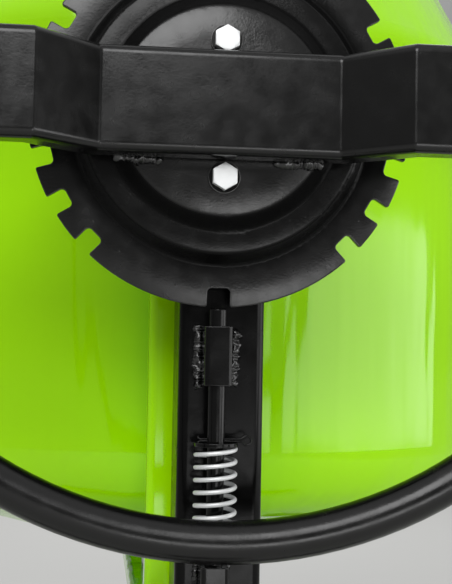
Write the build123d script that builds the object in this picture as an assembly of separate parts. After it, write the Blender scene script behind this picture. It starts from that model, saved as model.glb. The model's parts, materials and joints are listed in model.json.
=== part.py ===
from build123d import *
import math
import os

# Upright tilting-drum mixer: a conical drum in a tilting yoke, a stand with two posts,
# a handwheel with a notched index plate on one side and a motor on the other.
# Millimetres, +Z up. The trunnion axis runs along Y; the handwheel is on the -Y side.

# ---- Small bolts of drum and hub ----
bolt_shank = 8.0
bolt_across = 13.0
bolt_head = 5.5
nut_height = 6.5
nut_inset = 0.15             # a flat nut stands this far off the curved wall
bolt_end = 1.5               # past its nut

# ---- Drum ----
drum_radius = 323.0          # outside of the lower half
drum_wall = 3.0
drum_drop = 350.0            # from the trunnion axis down to the drum floor
drum_shoulder = 290.0        # from the trunnion axis down to where the wall turns in
drum_shoulder_round = 60.0
drum_floor_radius = 120.0
drum_floor_round = 30.0
seam_lift = 105.0            # from the trunnion axis up to the top of the lower half
seam_lap = 26.0              # height over which the upper half laps the lower one
skirt_rise = 14.0            # straight wall of the upper half above the lap
skirt_round = 40.0
mouth_lift = 380.0           # from the trunnion axis up to the mouth
mouth_radius = 190.0
mouth_bead = 16.0            # diameter of the rolled bead
seam_bolt_count = 12
paddle_thickness = 6.0
paddle_reach = 95.0
paddle_height = 300.0
paddle_root = 20.0            # overlong at the wall, then cut to the drum's inside
paddle_drop = 60.0            # middle of the paddles below the trunnions
paddle_pitch_angle = 18.0

# ---- Ring gear and pinion ----
ring_teeth = 84
pinion_teeth = 12
gear_face = 20.0
gear_shoulder = 3.0          # from the drum wall to the teeth
gear_body = 12.0             # ring above the teeth
gear_backlash = 2.4
pressure_angle = 20.0
crown_addendum_share = 0.68
crown_dedendum_share = 1.12
pinion_addendum_share = 0.98
pinion_dedendum_share = 0.86
gear_clearance = 4.0         # from the ring gear to the yoke arm
pinion_shaft_diameter = 20.0

# ---- Hub and spindle under the drum ----
hub_diameter = 90.0
hub_flange_diameter = 190.0
hub_flange = 8.0
hub_height = 92.0
hub_round = 12.0
hub_cap = 14.0               # solid top of the hub
hub_bolt_count = 6
spindle_nut = 20.0
bearing_seat = 2.0           # from a bearing to the end of its bore
spindle_diameter = 35.0
spindle_shoulder_diameter = 54.0
spindle_shoulder = 37.0
bearing_diameter = 62.0
bearing_width = 14.0
running_gap = 0.05           # radial, between a shaft and its bore
side_gap = 0.4               # between faces that turn past each other

# ---- Yoke and trunnions ----
arm_width = 84.0
arm_depth = 25.0
arm_wall = 4.0
arm_overrun = 40.0           # arm above the trunnion axis
arm_top_round = 34.0
arm_solid = 45.0             # solid part of the arm below the trunnion axis
yoke_bend = 100.0
trunnion_diameter = 50.0
trunnion_bore = 32.0
collar_diameter = 70.0
collar_length = 15.0
flange_diameter = 122.0
flange_thickness = 10.0

# ---- Index plate and handwheel ----
plate_radius = 132.5
plate_thickness = 4.0
plate_rim_inner = 103.5       # where the rim starts
plate_ring_outer = 96.5
plate_ring_inner = 81.5
plate_crown = 72.0           # raised middle
plate_step = 10.0             # each of two pressed steps
plate_bend = 3.0
notch_width = 13.5
centre_notch_width = 16.0
notch_depth = 13.2
notch_corner = 3.2
tooth_corner = 1.4
notch_pitch = 15.0
notch_first = 45.0
notch_last = 120.0
plate_bolt_circle = 92.5
plate_bolt = 10.0
plate_bolt_head = 16.0
plate_washer = 21.5
spoke_height = 70.0
spoke_depth = 25.0
spoke_wall = 3.0
spoke_corner = 6.0
spoke_flat = 167.4           # middle of the spoke, welded across the plate
spoke_run = 39.5             # sideways run of each inclined part
spoke_offset = 37.0          # how far the inclined parts stand out
spoke_bend = 2.5             # the bends are mitred, then ground round
spoke_shift = -4.7           # middle of the flat part, from the plate's axis
wheel_rim_radius = 280.0
wheel_rim_tube = 26.9
wheel_rim_wall = 2.6

# ---- Stand ----
trunnion_height = 800.0
post_size = 60.0
post_wall = 4.0
post_corner = 7.0
post_shift = 5.0             # both posts stand this far to +X of the trunnion axis
housing_width = 100.0
housing_below = 50.0         # bearing housing below the trunnion axis
bush_wall = 5.0
bush_flange = 6.0
bush_flange_width = 7.0
beam_bottom = 150.0
crossbar_size = 50.0
crossbar_length = 700.0
foot_height = 10.0
foot_length = 60.0
axle_beam_size = 40.0
axle_beam_length = 450.0
axle_diameter = 20.0
wheel_diameter = 240.0
wheel_width = 50.0
tyre_depth = 35.0
wheel_side_gap = 3.0
gusset_leg = 80.0
gusset_thickness = 6.0

# ---- Tilt lock ----
rod_diameter = 12.0
rod_tip_gap = 0.6            # from the drawn rod to the path of the teeth
rod_standoff = 16.0          # from the post face to the rod's centre
guide_width = 19.0
guide_wall_front = 11.0      # from the rod's centre to the guide's front
guide_height = 40.5
guide_top_drop = 145.5       # from the trunnion axis down to the guide
guide_gap = 0.3
lower_guide_top_drop = 307.0
lower_guide_height = 20.0
spring_seat_drop = 227.0     # from the trunnion axis down to the washer on the spring
spring_diameter = 30.0
spring_wire = 3.0
spring_turns = 9
rod_washer_thickness = 2.5
split_pin = 3.2
split_pin_eye = 8.0
pedal_pivot_height = 165.0
pedal_pin = 12.0
pedal_reach = 205.0
pedal_side = 6.0
pedal_side_height = 22.0
pedal_side_gap = 0.5
pedal_pad_width = 110.0
pedal_pad_length = 65.0
pedal_plate = 5.0
pedal_rubber = 5.0
pedal_link_front = 17.0      # of the plate, from the rod's centre
pedal_link_back = 12.0
pedal_link_height = 8.0
pedal_slot_play = 3.6        # fore and aft, beside the rod
rod_nut_across = 19.0
pedal_link_gap = 3.4

# ---- Drive ----
tray_depth = 50.0
case_wall = 3.0
case_width = 240.0
case_below = 300.0
case_above = 110.0
case_corner = 30.0
cover_depth = 165.0
cover_round = 18.0
vent_count = 7
vent_width = 110.0
vent_height = 6.0
vent_pitch = 14.0
pulley_width = 20.0
drive_pulley_radius = 86.0
motor_pulley_radius = 22.0
pulley_lip = 6.0
pulley_lip_width = 3.0
belt_thickness = 4.0
belt_gap = 0.3
motor_drop = 210.0
motor_radius = 65.0
motor_length = 108.0
motor_shaft_diameter = 14.0
motor_plate = 4.0
motor_plate_margin = 20.0     # plate beyond the motor's side
motor_gap = 1.0
standoff_diameter = 16.0
standoff_inset = 12.0         # standoffs in from the plate's edges
switch_width = 70.0
switch_depth = 28.0
switch_height = 96.0
switch_wall = 3.0
button_diameter = 22.0
button_stand = 5.0
button_travel = 3.5
button_pitch = 40.0
inlet_diameter = 46.0
inlet_depth = 26.0

# ---- Worked out from the above ----
pitch_radius = drum_radius + gear_shoulder + gear_face / 2
gear_module = 2 * pitch_radius / ring_teeth
pinion_radius = gear_module * pinion_teeth / 2
gear_outer = pitch_radius + gear_face / 2
arm_inner = gear_outer + gear_clearance
arm_outer = arm_inner + arm_depth
post_inner = arm_outer + collar_length
post_middle = post_inner + post_size / 2
post_outer = post_inner + post_size
rod_y = -(post_outer + rod_standoff)
plate_rim_front = rod_y - plate_thickness / 2
plate_front = plate_rim_front - 2 * plate_step
spoke_middle = plate_front - spoke_depth / 2
wheel_rim_y = spoke_middle - spoke_offset
floor_height = trunnion_height - drum_drop
seam_top = trunnion_height + seam_lift
gear_plane = trunnion_height + pinion_radius
yoke_base_top = floor_height - hub_flange - spindle_shoulder
yoke_base = yoke_base_top - arm_depth / 2
post_top = trunnion_height - housing_below
axle_height = wheel_diameter / 2
wheel_inside = axle_beam_length / 2 + wheel_side_gap
crossbar_top = foot_height + crossbar_size
beam_top = beam_bottom + post_size
tray_front = post_outer + tray_depth
cover_front = tray_front + cover_depth
motor_axis = trunnion_height - motor_drop
motor_face = tray_front + pulley_width + motor_plate
pedal_front = -(post_middle + pedal_reach)
front_reach = -pedal_front
rear_reach = cover_front + switch_depth + button_stand
drum_y = (front_reach - rear_reach) / 2

os.makedirs("parts", exist_ok=True)


# ---- Helpers ----
def save(name, *solids):
    """Writes one node; the model is drawn about the drum axis and moved here."""
    whole = solids[0] if len(solids) == 1 else Compound(list(solids))
    export_step(Pos(0, drum_y, 0) * whole, f"parts/{name}.step")


def block(x, y, z):
    """A box between two limits on each axis."""
    size = [high - low for low, high in (x, y, z)]
    middle = [(low + high) / 2 for low, high in (x, y, z)]
    return Pos(*middle) * Box(*size)


def rod_x(radius, x, y, z):
    """A round bar along X between two limits."""
    return Pos((x[0] + x[1]) / 2, y, z) * Rot(0, 90, 0) * Cylinder(radius, x[1] - x[0])


def rod_along_y(radius, y, x=0, z=trunnion_height):
    """A round bar along Y between two limits, on the trunnion axis unless told."""
    return Pos(x, (y[0] + y[1]) / 2, z) * Rot(90, 0, 0) * Cylinder(radius, y[1] - y[0])


def rod_z(radius, z, x=0, y=0):
    """An upright round bar between two limits."""
    return Pos(x, y, (z[0] + z[1]) / 2) * Cylinder(radius, z[1] - z[0])


def hex_bar(across, height):
    """A hexagonal prism upwards from the origin, with flats left and right."""
    return extrude(RegularPolygon(across / 2, 6, major_radius=False, rotation=30), amount=height)


def tube_section(width, height, wall, corner):
    """The section of a rectangular tube."""
    inner = max(corner - wall, 0.5)
    hole = RectangleRounded(width - 2 * wall, height - 2 * wall, inner)
    return RectangleRounded(width, height, corner) - hole


def around_z(item, count, start=0):
    """Copies of a solid or a place, evenly spaced round the drum axis."""
    return [Rot(0, 0, start + 360 * i / count) * item for i in range(count)]


def bolt_and_nut(grip):
    """A small bolt with its head on the XY plane, and its nut below the grip."""
    length = grip + nut_height + bolt_end
    shank = Pos(0, 0, -length / 2) * Cylinder(bolt_shank / 2, length)
    nut = hex_bar(bolt_across, nut_height) - Pos(0, 0, nut_height / 2) * Cylinder(bolt_shank / 2, nut_height)
    return hex_bar(bolt_across, bolt_head) + shank, Pos(0, 0, -grip - nut_height) * nut


def revolve_profile(sketch):
    """Turns a sketch drawn as radius and height round the drum axis."""
    return revolve(Plane.XZ * sketch, Axis.Z)


# ---- Stand ----
def make_posts():
    section = tube_section(post_size, post_size, post_wall, post_corner)
    feet = {"front": (-1, crossbar_top), "rear": (1, axle_height + axle_beam_size / 2)}
    for name, (side, foot) in feet.items():
        post = Pos(post_shift, side * post_middle, foot) * extrude(section, amount=post_top - foot)
        if name == "front":
            x = (post_shift - post_size, post_shift + post_size)
            post -= rod_x(pedal_pin / 2, x, -post_middle, pedal_pivot_height)
        save(f"{name}_post", post)


def make_beams():
    section = tube_section(post_size, post_size, post_wall, post_corner)
    beam = Rot(-90, 0, 0) * extrude(section, amount=2 * post_inner)
    save("base_beam", Pos(post_shift, -post_inner, beam_bottom + post_size / 2) * beam)
    outline = RectangleRounded(crossbar_size, crossbar_size, post_corner)
    inside = crossbar_size - 2 * post_wall
    hollow = RectangleRounded(inside, inside, post_corner - post_wall)
    half = crossbar_length / 2
    bar = extrude(outline, amount=half, both=True) - extrude(hollow, amount=half - post_wall, both=True)
    bar_place = Pos(0, -post_middle, foot_height + crossbar_size / 2) * Rot(0, 90, 0)
    save("front_crossbar", bar_place * bar)
    axle_section = tube_section(axle_beam_size, axle_beam_size, post_wall, post_corner)
    axle_beam = Rot(0, 90, 0) * extrude(axle_section, amount=axle_beam_length)
    save("axle_beam", Pos(-axle_beam_length / 2, post_middle, axle_height) * axle_beam)


def gusset():
    """A triangular plate in the XZ plane, with its right angle at the origin."""
    corners = Polygon((0, 0), (gusset_leg, 0), (0, gusset_leg), align=None)
    return extrude(Plane.XZ * corners, amount=gusset_thickness / 2, both=True)


def make_gussets():
    plates = []
    for side, height in ((-1, crossbar_top), (1, axle_height + axle_beam_size / 2)):
        for turn in (0, 180):
            base = Pos(post_shift, side * post_middle, height) * Rot(0, 0, turn)
            plates.append(base * Pos(post_size / 2, 0, 0) * gusset())
    for side in (-1, 1):
        corner = Pos(post_shift, side * post_inner, beam_top) * Rot(0, 0, -90 * side)
        plates.append(corner * gusset())
    save("gussets", *plates)


def make_feet():
    half = crossbar_length / 2
    y = (-post_middle - crossbar_size / 2, -post_middle + crossbar_size / 2)
    pads = []
    for side in (-1, 1):
        x = sorted((side * half, side * (half - foot_length)))
        pad = block(x, y, (0, foot_height))
        pads.append(chamfer(pad.edges().group_by(Axis.Z)[0], 2))
    save("rubber_feet", *pads)


def make_axle():
    inside = axle_beam_size - 2 * post_wall
    plug_length = 60.0
    outer_end = wheel_inside + wheel_width + 16
    stubs = []
    for side in (-1, 1):
        inner_end = axle_beam_length / 2 - plug_length
        x_plug = sorted((side * inner_end, side * axle_beam_length / 2))
        x_pin = sorted((side * axle_beam_length / 2, side * outer_end))
        plug = block(x_plug, (post_middle - inside / 2, post_middle + inside / 2),
                     (axle_height - inside / 2, axle_height + inside / 2))
        plug = fillet(plug.edges().filter_by(Axis.X), post_corner - post_wall)
        hole = rod_z(2, (axle_height - inside, axle_height + inside),
                     side * (outer_end - 6), post_middle)
        stubs.append(plug + rod_x(axle_diameter / 2, x_pin, post_middle, axle_height) - hole)
    save("axle_stubs", *stubs)
    retainers = []
    for side in (-1, 1):
        near = side * (wheel_inside + wheel_width + side_gap)
        far = near + side * 3
        ring = rod_x(18, sorted((near, far)), post_middle, axle_height)
        ring -= rod_x(axle_diameter / 2, sorted((near, far)), post_middle, axle_height)
        pin = rod_z(2, (axle_height - 17, axle_height + 15), side * (outer_end - 6), post_middle)
        eye = Pos(side * (outer_end - 6), post_middle, axle_height + 18) * Rot(0, 90, 0)
        retainers += [ring, pin + eye * Torus(4, 2)]
    save("wheel_retainers", *retainers)


def make_wheels():
    tyre_inner = wheel_diameter / 2 - tyre_depth
    half = wheel_width / 2
    rim_flange = 3.0
    web = 4.0
    hub_radius = axle_diameter / 2 + 9
    bore = axle_diameter / 2 + running_gap
    hub = Pos((bore + hub_radius) / 2, 0) * Rectangle(hub_radius - bore, wheel_width)
    disc = Pos((hub_radius + tyre_inner) / 2, 0) * Rectangle(tyre_inner - hub_radius, web)
    band = Pos(tyre_inner - rim_flange / 2, 0) * Rectangle(rim_flange, wheel_width - 8)
    rim = revolve_profile(hub + disc + band)
    hole = Pos((hub_radius + tyre_inner) / 2, 0, 0) * Cylinder(11, wheel_width)
    rim -= around_z(hole, 6)
    tread = Pos(tyre_inner + tyre_depth / 2, 0) * RectangleRounded(tyre_depth, wheel_width, 11)
    tyre = revolve_profile(tread)
    grooves = []
    for height in (-10, 0, 10):
        ring = Pos(wheel_diameter / 2, height) * Rectangle(5, 3)
        grooves.append(revolve_profile(ring))
    tyre -= grooves
    for name, side in (("left", -1), ("right", 1)):
        middle = side * (wheel_inside + half)
        place = Pos(middle, post_middle, axle_height) * Rot(0, 90, 0)
        save(f"{name}_wheel_rim", place * rim)
        save(f"{name}_tyre", place * tyre)


def make_bearing_housings():
    """A block with a round top that stands on each post and holds a bush."""
    half = housing_width / 2
    lower = Pos(0, -housing_below / 2) * Rectangle(housing_width, housing_below)
    face = lower + Circle(half)
    face -= Pos(0, -housing_below - half) * Rectangle(2 * housing_width, housing_width)
    face -= Circle(trunnion_diameter / 2 + bush_wall)
    block_body = extrude(Plane.XZ * face, amount=post_size / 2, both=True)
    bore = trunnion_diameter / 2 + running_gap
    bush_radius = trunnion_diameter / 2 + bush_wall
    housings = []
    bushes = []
    for side in (-1, 1):
        housings.append(Pos(0, side * post_middle, trunnion_height) * block_body)
        y = sorted((side * post_inner, side * post_outer))
        y_flange = sorted((side * post_outer, side * (post_outer + bush_flange)))
        bush = rod_along_y(bush_radius, y) + rod_along_y(bush_radius + bush_flange_width, y_flange)
        y_all = sorted((side * post_inner, side * (post_outer + bush_flange)))
        bushes.append(bush - rod_along_y(bore, y_all))
    save("bearing_housings", *housings)
    save("trunnion_bushes", *bushes)


# ---- Yoke ----
def yoke_path(end_height):
    middle = arm_inner + arm_depth / 2
    points = [(-middle, end_height), (-middle, yoke_base), (middle, yoke_base), (middle, end_height)]
    return Plane.YZ * FilletPolyline(*points, radius=yoke_bend)


def yoke_sweep(width, depth, end_height, corner):
    middle = arm_inner + arm_depth / 2
    section = Pos(0, -middle, end_height) * RectangleRounded(width, depth, corner)
    return sweep(section, path=yoke_path(end_height))


def make_yoke():
    top = trunnion_height + arm_overrun
    yoke = yoke_sweep(arm_width, arm_depth, top, 6)
    half = arm_width / 2
    for side_x in (-1, 1):
        for side_y in (-1, 1):
            middle = side_y * (arm_inner + arm_depth / 2)
            centre_x = side_x * (half - arm_top_round)
            centre_z = top - arm_top_round
            x = sorted((centre_x, side_x * (half + 1)))
            corner = block(x, (middle - arm_depth, middle + arm_depth), (centre_z, top + 1))
            y = (middle - 2 * arm_depth, middle + 2 * arm_depth)
            bar = rod_along_y(arm_top_round, y, centre_x, centre_z)
            yoke -= corner - bar
    inside = trunnion_height - arm_solid
    yoke -= yoke_sweep(arm_width - 2 * arm_wall, arm_depth - 2 * arm_wall, inside, 3)
    yoke -= rod_along_y(trunnion_bore / 2, (arm_inner - 1, arm_outer + 1))
    yoke -= rod_z(spindle_diameter / 2, (yoke_base_top - arm_depth - 1, yoke_base_top + 1))
    save("yoke_frame", yoke)


def make_trunnions():
    flange_back = plate_front + plate_thickness
    shaft_y = (flange_back, -arm_outer)
    front = rod_along_y(trunnion_diameter / 2, shaft_y)
    collar_inner = collar_length - side_gap
    front += rod_along_y(collar_diameter / 2, (-arm_outer - collar_inner, -arm_outer))
    front += rod_along_y(flange_diameter / 2, (flange_back, flange_back + flange_thickness))
    for side in (-1, 1):
        height = trunnion_height + side * plate_bolt_circle / 2
        hole_y = (flange_back - 1, flange_back + flange_thickness + 1)
        front -= rod_along_y(plate_bolt / 2, hole_y, 0, height)
    save("front_trunnion", front)
    rear_end = post_outer + bush_flange + 6
    rear = rod_along_y(trunnion_diameter / 2, (arm_outer, rear_end))
    rear += rod_along_y(collar_diameter / 2, (arm_outer, arm_outer + collar_inner))
    save("rear_trunnion", rear - rod_along_y(trunnion_bore / 2, (arm_outer, rear_end)))
    rings = []
    for y in ((arm_outer, arm_outer + bearing_width), (rear_end - bearing_width, rear_end)):
        ring = rod_along_y(trunnion_bore / 2, y)
        rings.append(ring - rod_along_y(pinion_shaft_diameter / 2 + running_gap, y))
    save("pinion_bushes", *rings)


def plate_line(offset):
    """Half of the pressed section, as radius and Y, shifted by one thickness if asked."""
    points = [
        (0, plate_front),
        (plate_crown, plate_front),
        (plate_ring_inner, plate_front + plate_step),
        (plate_ring_outer, plate_front + plate_step),
        (plate_rim_inner, plate_rim_front),
        (plate_radius, plate_rim_front),
    ]
    points = [(r, y + offset) for r, y in points]
    return FilletPolyline(*points, radius=plate_bend)


def notch(width):
    """A slot in from the rim at the bottom of the plate, with rounded inner corners."""
    height = notch_depth + 10
    slot = Pos(0, height / 2) * Rectangle(width, height)
    slot = fillet(slot.vertices().group_by(Axis.Y)[0], notch_corner)
    cutter = extrude(slot, amount=plate_thickness, both=True)
    up_to_down = Rot(-90, 0, 0) * cutter
    return Pos(0, rod_y, -(plate_radius - notch_depth)) * up_to_down


def make_index_plate():
    front = plate_line(0)
    back = plate_line(plate_thickness)
    ends = [Line(front @ 0, back @ 0), Line(front @ 1, back @ 1)]
    face = make_face([front, back] + ends)
    plate = revolve(face, Axis.Y)
    steps = round((notch_last - notch_first) / notch_pitch) + 1
    angles = [side * (notch_first + notch_pitch * i) for side in (-1, 1) for i in range(steps)]
    plate -= [Rot(0, angle, 0) * notch(notch_width) for angle in angles]
    plate -= notch(centre_notch_width)
    tips = [edge for edge in plate.edges().filter_by(Axis.Y)
            if math.hypot(edge.center().X, edge.center().Z) > plate_radius - 0.5]
    plate = fillet(tips, tooth_corner)
    plate = Pos(0, 0, trunnion_height) * plate
    for side in (-1, 1):
        height = trunnion_height + side * plate_bolt_circle / 2
        hole_y = (plate_front - 1, plate_front + plate_thickness + 1)
        plate -= rod_along_y(plate_bolt / 2, hole_y, 0, height)
    save("index_plate", plate)


def make_plate_bolts():
    washer_thickness = 2.0
    head = 6.4
    washers = []
    bolts = []
    end = plate_front + plate_thickness + flange_thickness
    for side in (-1, 1):
        height = trunnion_height + side * plate_bolt_circle / 2
        washer_front = plate_front - washer_thickness
        washer = rod_along_y(plate_washer / 2, (washer_front, plate_front), 0, height)
        washers.append(washer - rod_along_y(plate_bolt / 2, (washer_front, plate_front), 0, height))
        cap = Pos(0, washer_front, height) * Rot(90, 0, 0) * hex_bar(plate_bolt_head, head)
        bolts.append(cap + rod_along_y(plate_bolt / 2, (washer_front, end), 0, height))
    save("plate_washers", *washers)
    save("plate_bolts", *bolts)


def spoke_path():
    half = spoke_flat / 2
    out = half + spoke_run
    points = [
        (-wheel_rim_radius, wheel_rim_y),
        (spoke_shift - out, wheel_rim_y),
        (spoke_shift - half, spoke_middle),
        (spoke_shift + half, spoke_middle),
        (spoke_shift + out, wheel_rim_y),
        (wheel_rim_radius, wheel_rim_y),
    ]
    return Pos(0, 0, trunnion_height) * Polyline(*points)


def make_handwheel():
    place = Pos(-wheel_rim_radius, wheel_rim_y, trunnion_height) * Rot(0, 90, 0)
    outer = place * RectangleRounded(spoke_height, spoke_depth, spoke_corner)
    hollow = place * RectangleRounded(spoke_height - 2 * spoke_wall, spoke_depth - 2 * spoke_wall,
                                      spoke_corner - spoke_wall)
    spoke = sweep(outer, path=spoke_path(), transition=Transition.RIGHT)
    inside_rim = wheel_rim_radius - wheel_rim_tube
    bends = [edge for edge in spoke.edges().filter_by(Axis.Z) if abs(edge.center().X) < inside_rim]
    spoke = fillet(bends, spoke_bend)
    spoke -= sweep(hollow, path=spoke_path(), transition=Transition.RIGHT)
    ring_place = Pos(0, wheel_rim_y, trunnion_height) * Rot(90, 0, 0)
    ring = Torus(wheel_rim_radius, wheel_rim_tube / 2)
    save("handwheel_spoke", spoke - ring_place * ring)
    hollow_ring = Torus(wheel_rim_radius, wheel_rim_tube / 2 - wheel_rim_wall)
    save("handwheel_rim", ring_place * (ring - hollow_ring))


# ---- Drum ----
def drum_floor_face():
    """Filled half section of the lower drum, as radius and height."""
    line = FilletPolyline(
        (drum_radius, seam_top),
        (drum_radius, trunnion_height - drum_shoulder),
        (drum_floor_radius, floor_height),
        (0, floor_height),
        radius=[drum_shoulder_round, drum_floor_round],
    )
    top = Line((0, seam_top), (drum_radius, seam_top))
    axis = Line((0, floor_height), (0, seam_top))
    return make_face([line, top, axis])


def drum_cavity_face():
    """The same section one wall further in, open at the top and on the axis."""
    height = seam_top - floor_height
    face = offset(drum_floor_face(), amount=-drum_wall)
    inner = drum_radius - drum_wall
    face += Pos(inner / 2, seam_top - 2 * drum_wall) * Rectangle(inner, 4 * drum_wall)
    face += Pos(drum_wall, floor_height + drum_wall + height / 2) * Rectangle(2 * drum_wall, height)
    return face


def seam_bolt_place():
    height = seam_top - seam_lap / 2
    return Pos(drum_radius + drum_wall, 0, height) * Rot(0, 90, 0)


def make_drum():
    cavity = revolve_profile(drum_cavity_face())
    bolt_hole = seam_bolt_place() * Pos(0, 0, -drum_wall) * Cylinder(bolt_shank / 2, 6 * drum_wall)
    lower = revolve_profile(drum_floor_face()) - cavity
    lower -= rod_z(hub_diameter / 2, (floor_height - 1, floor_height + drum_wall + 1))
    lower -= around_z(bolt_hole, seam_bolt_count, 15)
    lower -= [place * Cylinder(bolt_shank / 2, 4 * hub_flange) for place in hub_bolt_places()]
    save("drum_lower", lower)
    skirt = drum_radius + drum_wall
    skirt_bottom = seam_top - seam_lap
    skirt_top = seam_top + skirt_rise
    mouth_height = trunnion_height + mouth_lift
    lines = []
    for r_shift in (0, -drum_wall):
        points = [(skirt + r_shift, skirt_bottom), (skirt + r_shift, skirt_top),
                  (mouth_radius + r_shift, mouth_height)]
        lines.append(FilletPolyline(*points, radius=skirt_round))
    ends = [Line(lines[0] @ t, lines[1] @ t) for t in (0, 1)]
    bead = Pos(0, 0, mouth_height) * Torus(mouth_radius, mouth_bead / 2)
    upper = revolve_profile(make_face(lines + ends))
    upper = (upper - bead).solids().sort_by(Axis.Z)[0]
    upper = Part() + upper
    upper -= around_z(bolt_hole, seam_bolt_count, 15)
    save("drum_upper", upper)
    save("mouth_ring", bead)
    bolt, nut = bolt_and_nut(2 * drum_wall + nut_inset)
    bolts = around_z(seam_bolt_place() * bolt, seam_bolt_count, 15)
    save("drum_seam_bolts", *bolts, *around_z(seam_bolt_place() * nut, seam_bolt_count, 15))
    paddles = []
    middle = (drum_radius - paddle_reach / 2 + paddle_root, 0, trunnion_height - paddle_drop)
    for turn in (0, 180):
        plate = Box(paddle_reach + 2 * paddle_root, paddle_thickness, paddle_height)
        plate = Pos(*middle) * Rot(paddle_pitch_angle, 0, 0) * plate
        paddles.append((Rot(0, 0, turn) * plate) & cavity)
    save("mixing_paddles", *[paddle.solids()[0] for paddle in paddles])


def make_ring_gear():
    half_pitch = math.pi * gear_module / 4 - gear_backlash / 4
    slope = math.tan(math.radians(pressure_angle))
    tip = crown_addendum_share * gear_module
    root = crown_dedendum_share * gear_module
    tooth_points = [
        (-half_pitch - root * slope, gear_plane + root),
        (-half_pitch + tip * slope, gear_plane - tip),
        (half_pitch - tip * slope, gear_plane - tip),
        (half_pitch + root * slope, gear_plane + root),
    ]
    profile = Polygon(*tooth_points, align=None)
    tooth = Pos(pitch_radius, 0, 0) * extrude(Plane.YZ * profile, amount=gear_face / 2, both=True)
    ring = rod_z(gear_outer, (gear_plane + root, gear_plane + root + gear_body))
    ring -= rod_z(drum_radius, (gear_plane + root, gear_plane + root + gear_body))
    save("ring_gear", ring + around_z(tooth, ring_teeth))


def involute(radius, base):
    reach = math.sqrt(max((radius / base) ** 2 - 1, 0))
    return reach - math.atan(reach)


def make_pinion():
    base = pinion_radius * math.cos(math.radians(pressure_angle))
    outer = pinion_radius + pinion_addendum_share * gear_module
    root = pinion_radius - pinion_dedendum_share * gear_module
    half_thick = math.pi * gear_module / 4 - gear_backlash / 4
    at_pitch = half_thick / pinion_radius + involute(pinion_radius, base)
    steps = 5
    radii = [base + (outer - base) * i / steps for i in range(steps + 1)]
    flank = [(root, at_pitch)] + [(r, at_pitch - involute(r, base)) for r in radii]
    points = []
    for i in range(pinion_teeth):
        centre = math.radians(360 * (i + 0.5) / pinion_teeth)
        side = [(r, centre - a) for r, a in flank] + [(r, centre + a) for r, a in reversed(flank)]
        points += [(r * math.cos(a), r * math.sin(a)) for r, a in side]
    face = Polygon(*points, align=None)
    gear = extrude(Plane.XZ * face, amount=gear_face / 2, both=True)
    gear = Pos(0, pitch_radius, trunnion_height) * gear
    y = (pitch_radius - gear_face / 2 - 1, tray_front + pulley_width + 1)
    save("pinion_gear", gear - rod_along_y(pinion_shaft_diameter / 2, y))
    save("pinion_shaft", rod_along_y(pinion_shaft_diameter / 2, y))


def hub_bolt_places():
    circle = (hub_diameter + hub_flange_diameter) / 4
    return around_z(Pos(circle, 0, floor_height), hub_bolt_count)


def make_hub():
    bottom = floor_height - hub_flange
    top = bottom + hub_height
    hub = rod_z(hub_diameter / 2, (bottom, top)) + rod_z(hub_flange_diameter / 2, (bottom, floor_height))
    hub = fillet(hub.edges().group_by(Axis.Z)[-1], hub_round)
    hub -= rod_z(bearing_diameter / 2, (bottom, top - hub_cap))
    hub -= [place * Cylinder(bolt_shank / 2, 4 * hub_flange) for place in hub_bolt_places()]
    save("drum_hub", hub)
    bearings = []
    bearing_top = top - hub_cap - 2 * bearing_seat
    for low in (bottom + bearing_seat, bearing_top - bearing_width):
        ring = rod_z(bearing_diameter / 2, (low, low + bearing_width))
        bearings.append(ring - rod_z(spindle_diameter / 2 + running_gap, (low, low + bearing_width)))
    save("drum_bearings", *bearings)
    bolts = []
    for place in hub_bolt_places():
        bolts += [place * Pos(0, 0, drum_wall) * solid for solid in bolt_and_nut(drum_wall + hub_flange)]
    save("hub_bolts", *bolts)
    yoke_under = yoke_base_top - arm_depth
    spindle_end = yoke_under - spindle_nut - bolt_end
    spindle = rod_z(spindle_diameter / 2, (spindle_end, bearing_top + bearing_seat))
    spindle += rod_z(spindle_shoulder_diameter / 2, (yoke_base_top, bottom + bearing_seat - side_gap))
    nut = Pos(0, 0, yoke_under - spindle_nut) * hex_bar(spindle_shoulder_diameter, spindle_nut)
    save("drum_spindle", spindle, nut - rod_z(spindle_diameter / 2, (spindle_end, yoke_under)))


# ---- Tilt lock ----
def guide(top, height):
    y = (rod_y - guide_wall_front, -post_outer)
    body = block((-guide_width / 2, guide_width / 2), y, (top - height, top))
    body = fillet(body.edges().filter_by(Axis.Z).group_by(Axis.Y)[0], 3)
    return body - rod_z(rod_diameter / 2 + guide_gap, (top - height, top), 0, rod_y)


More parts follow.
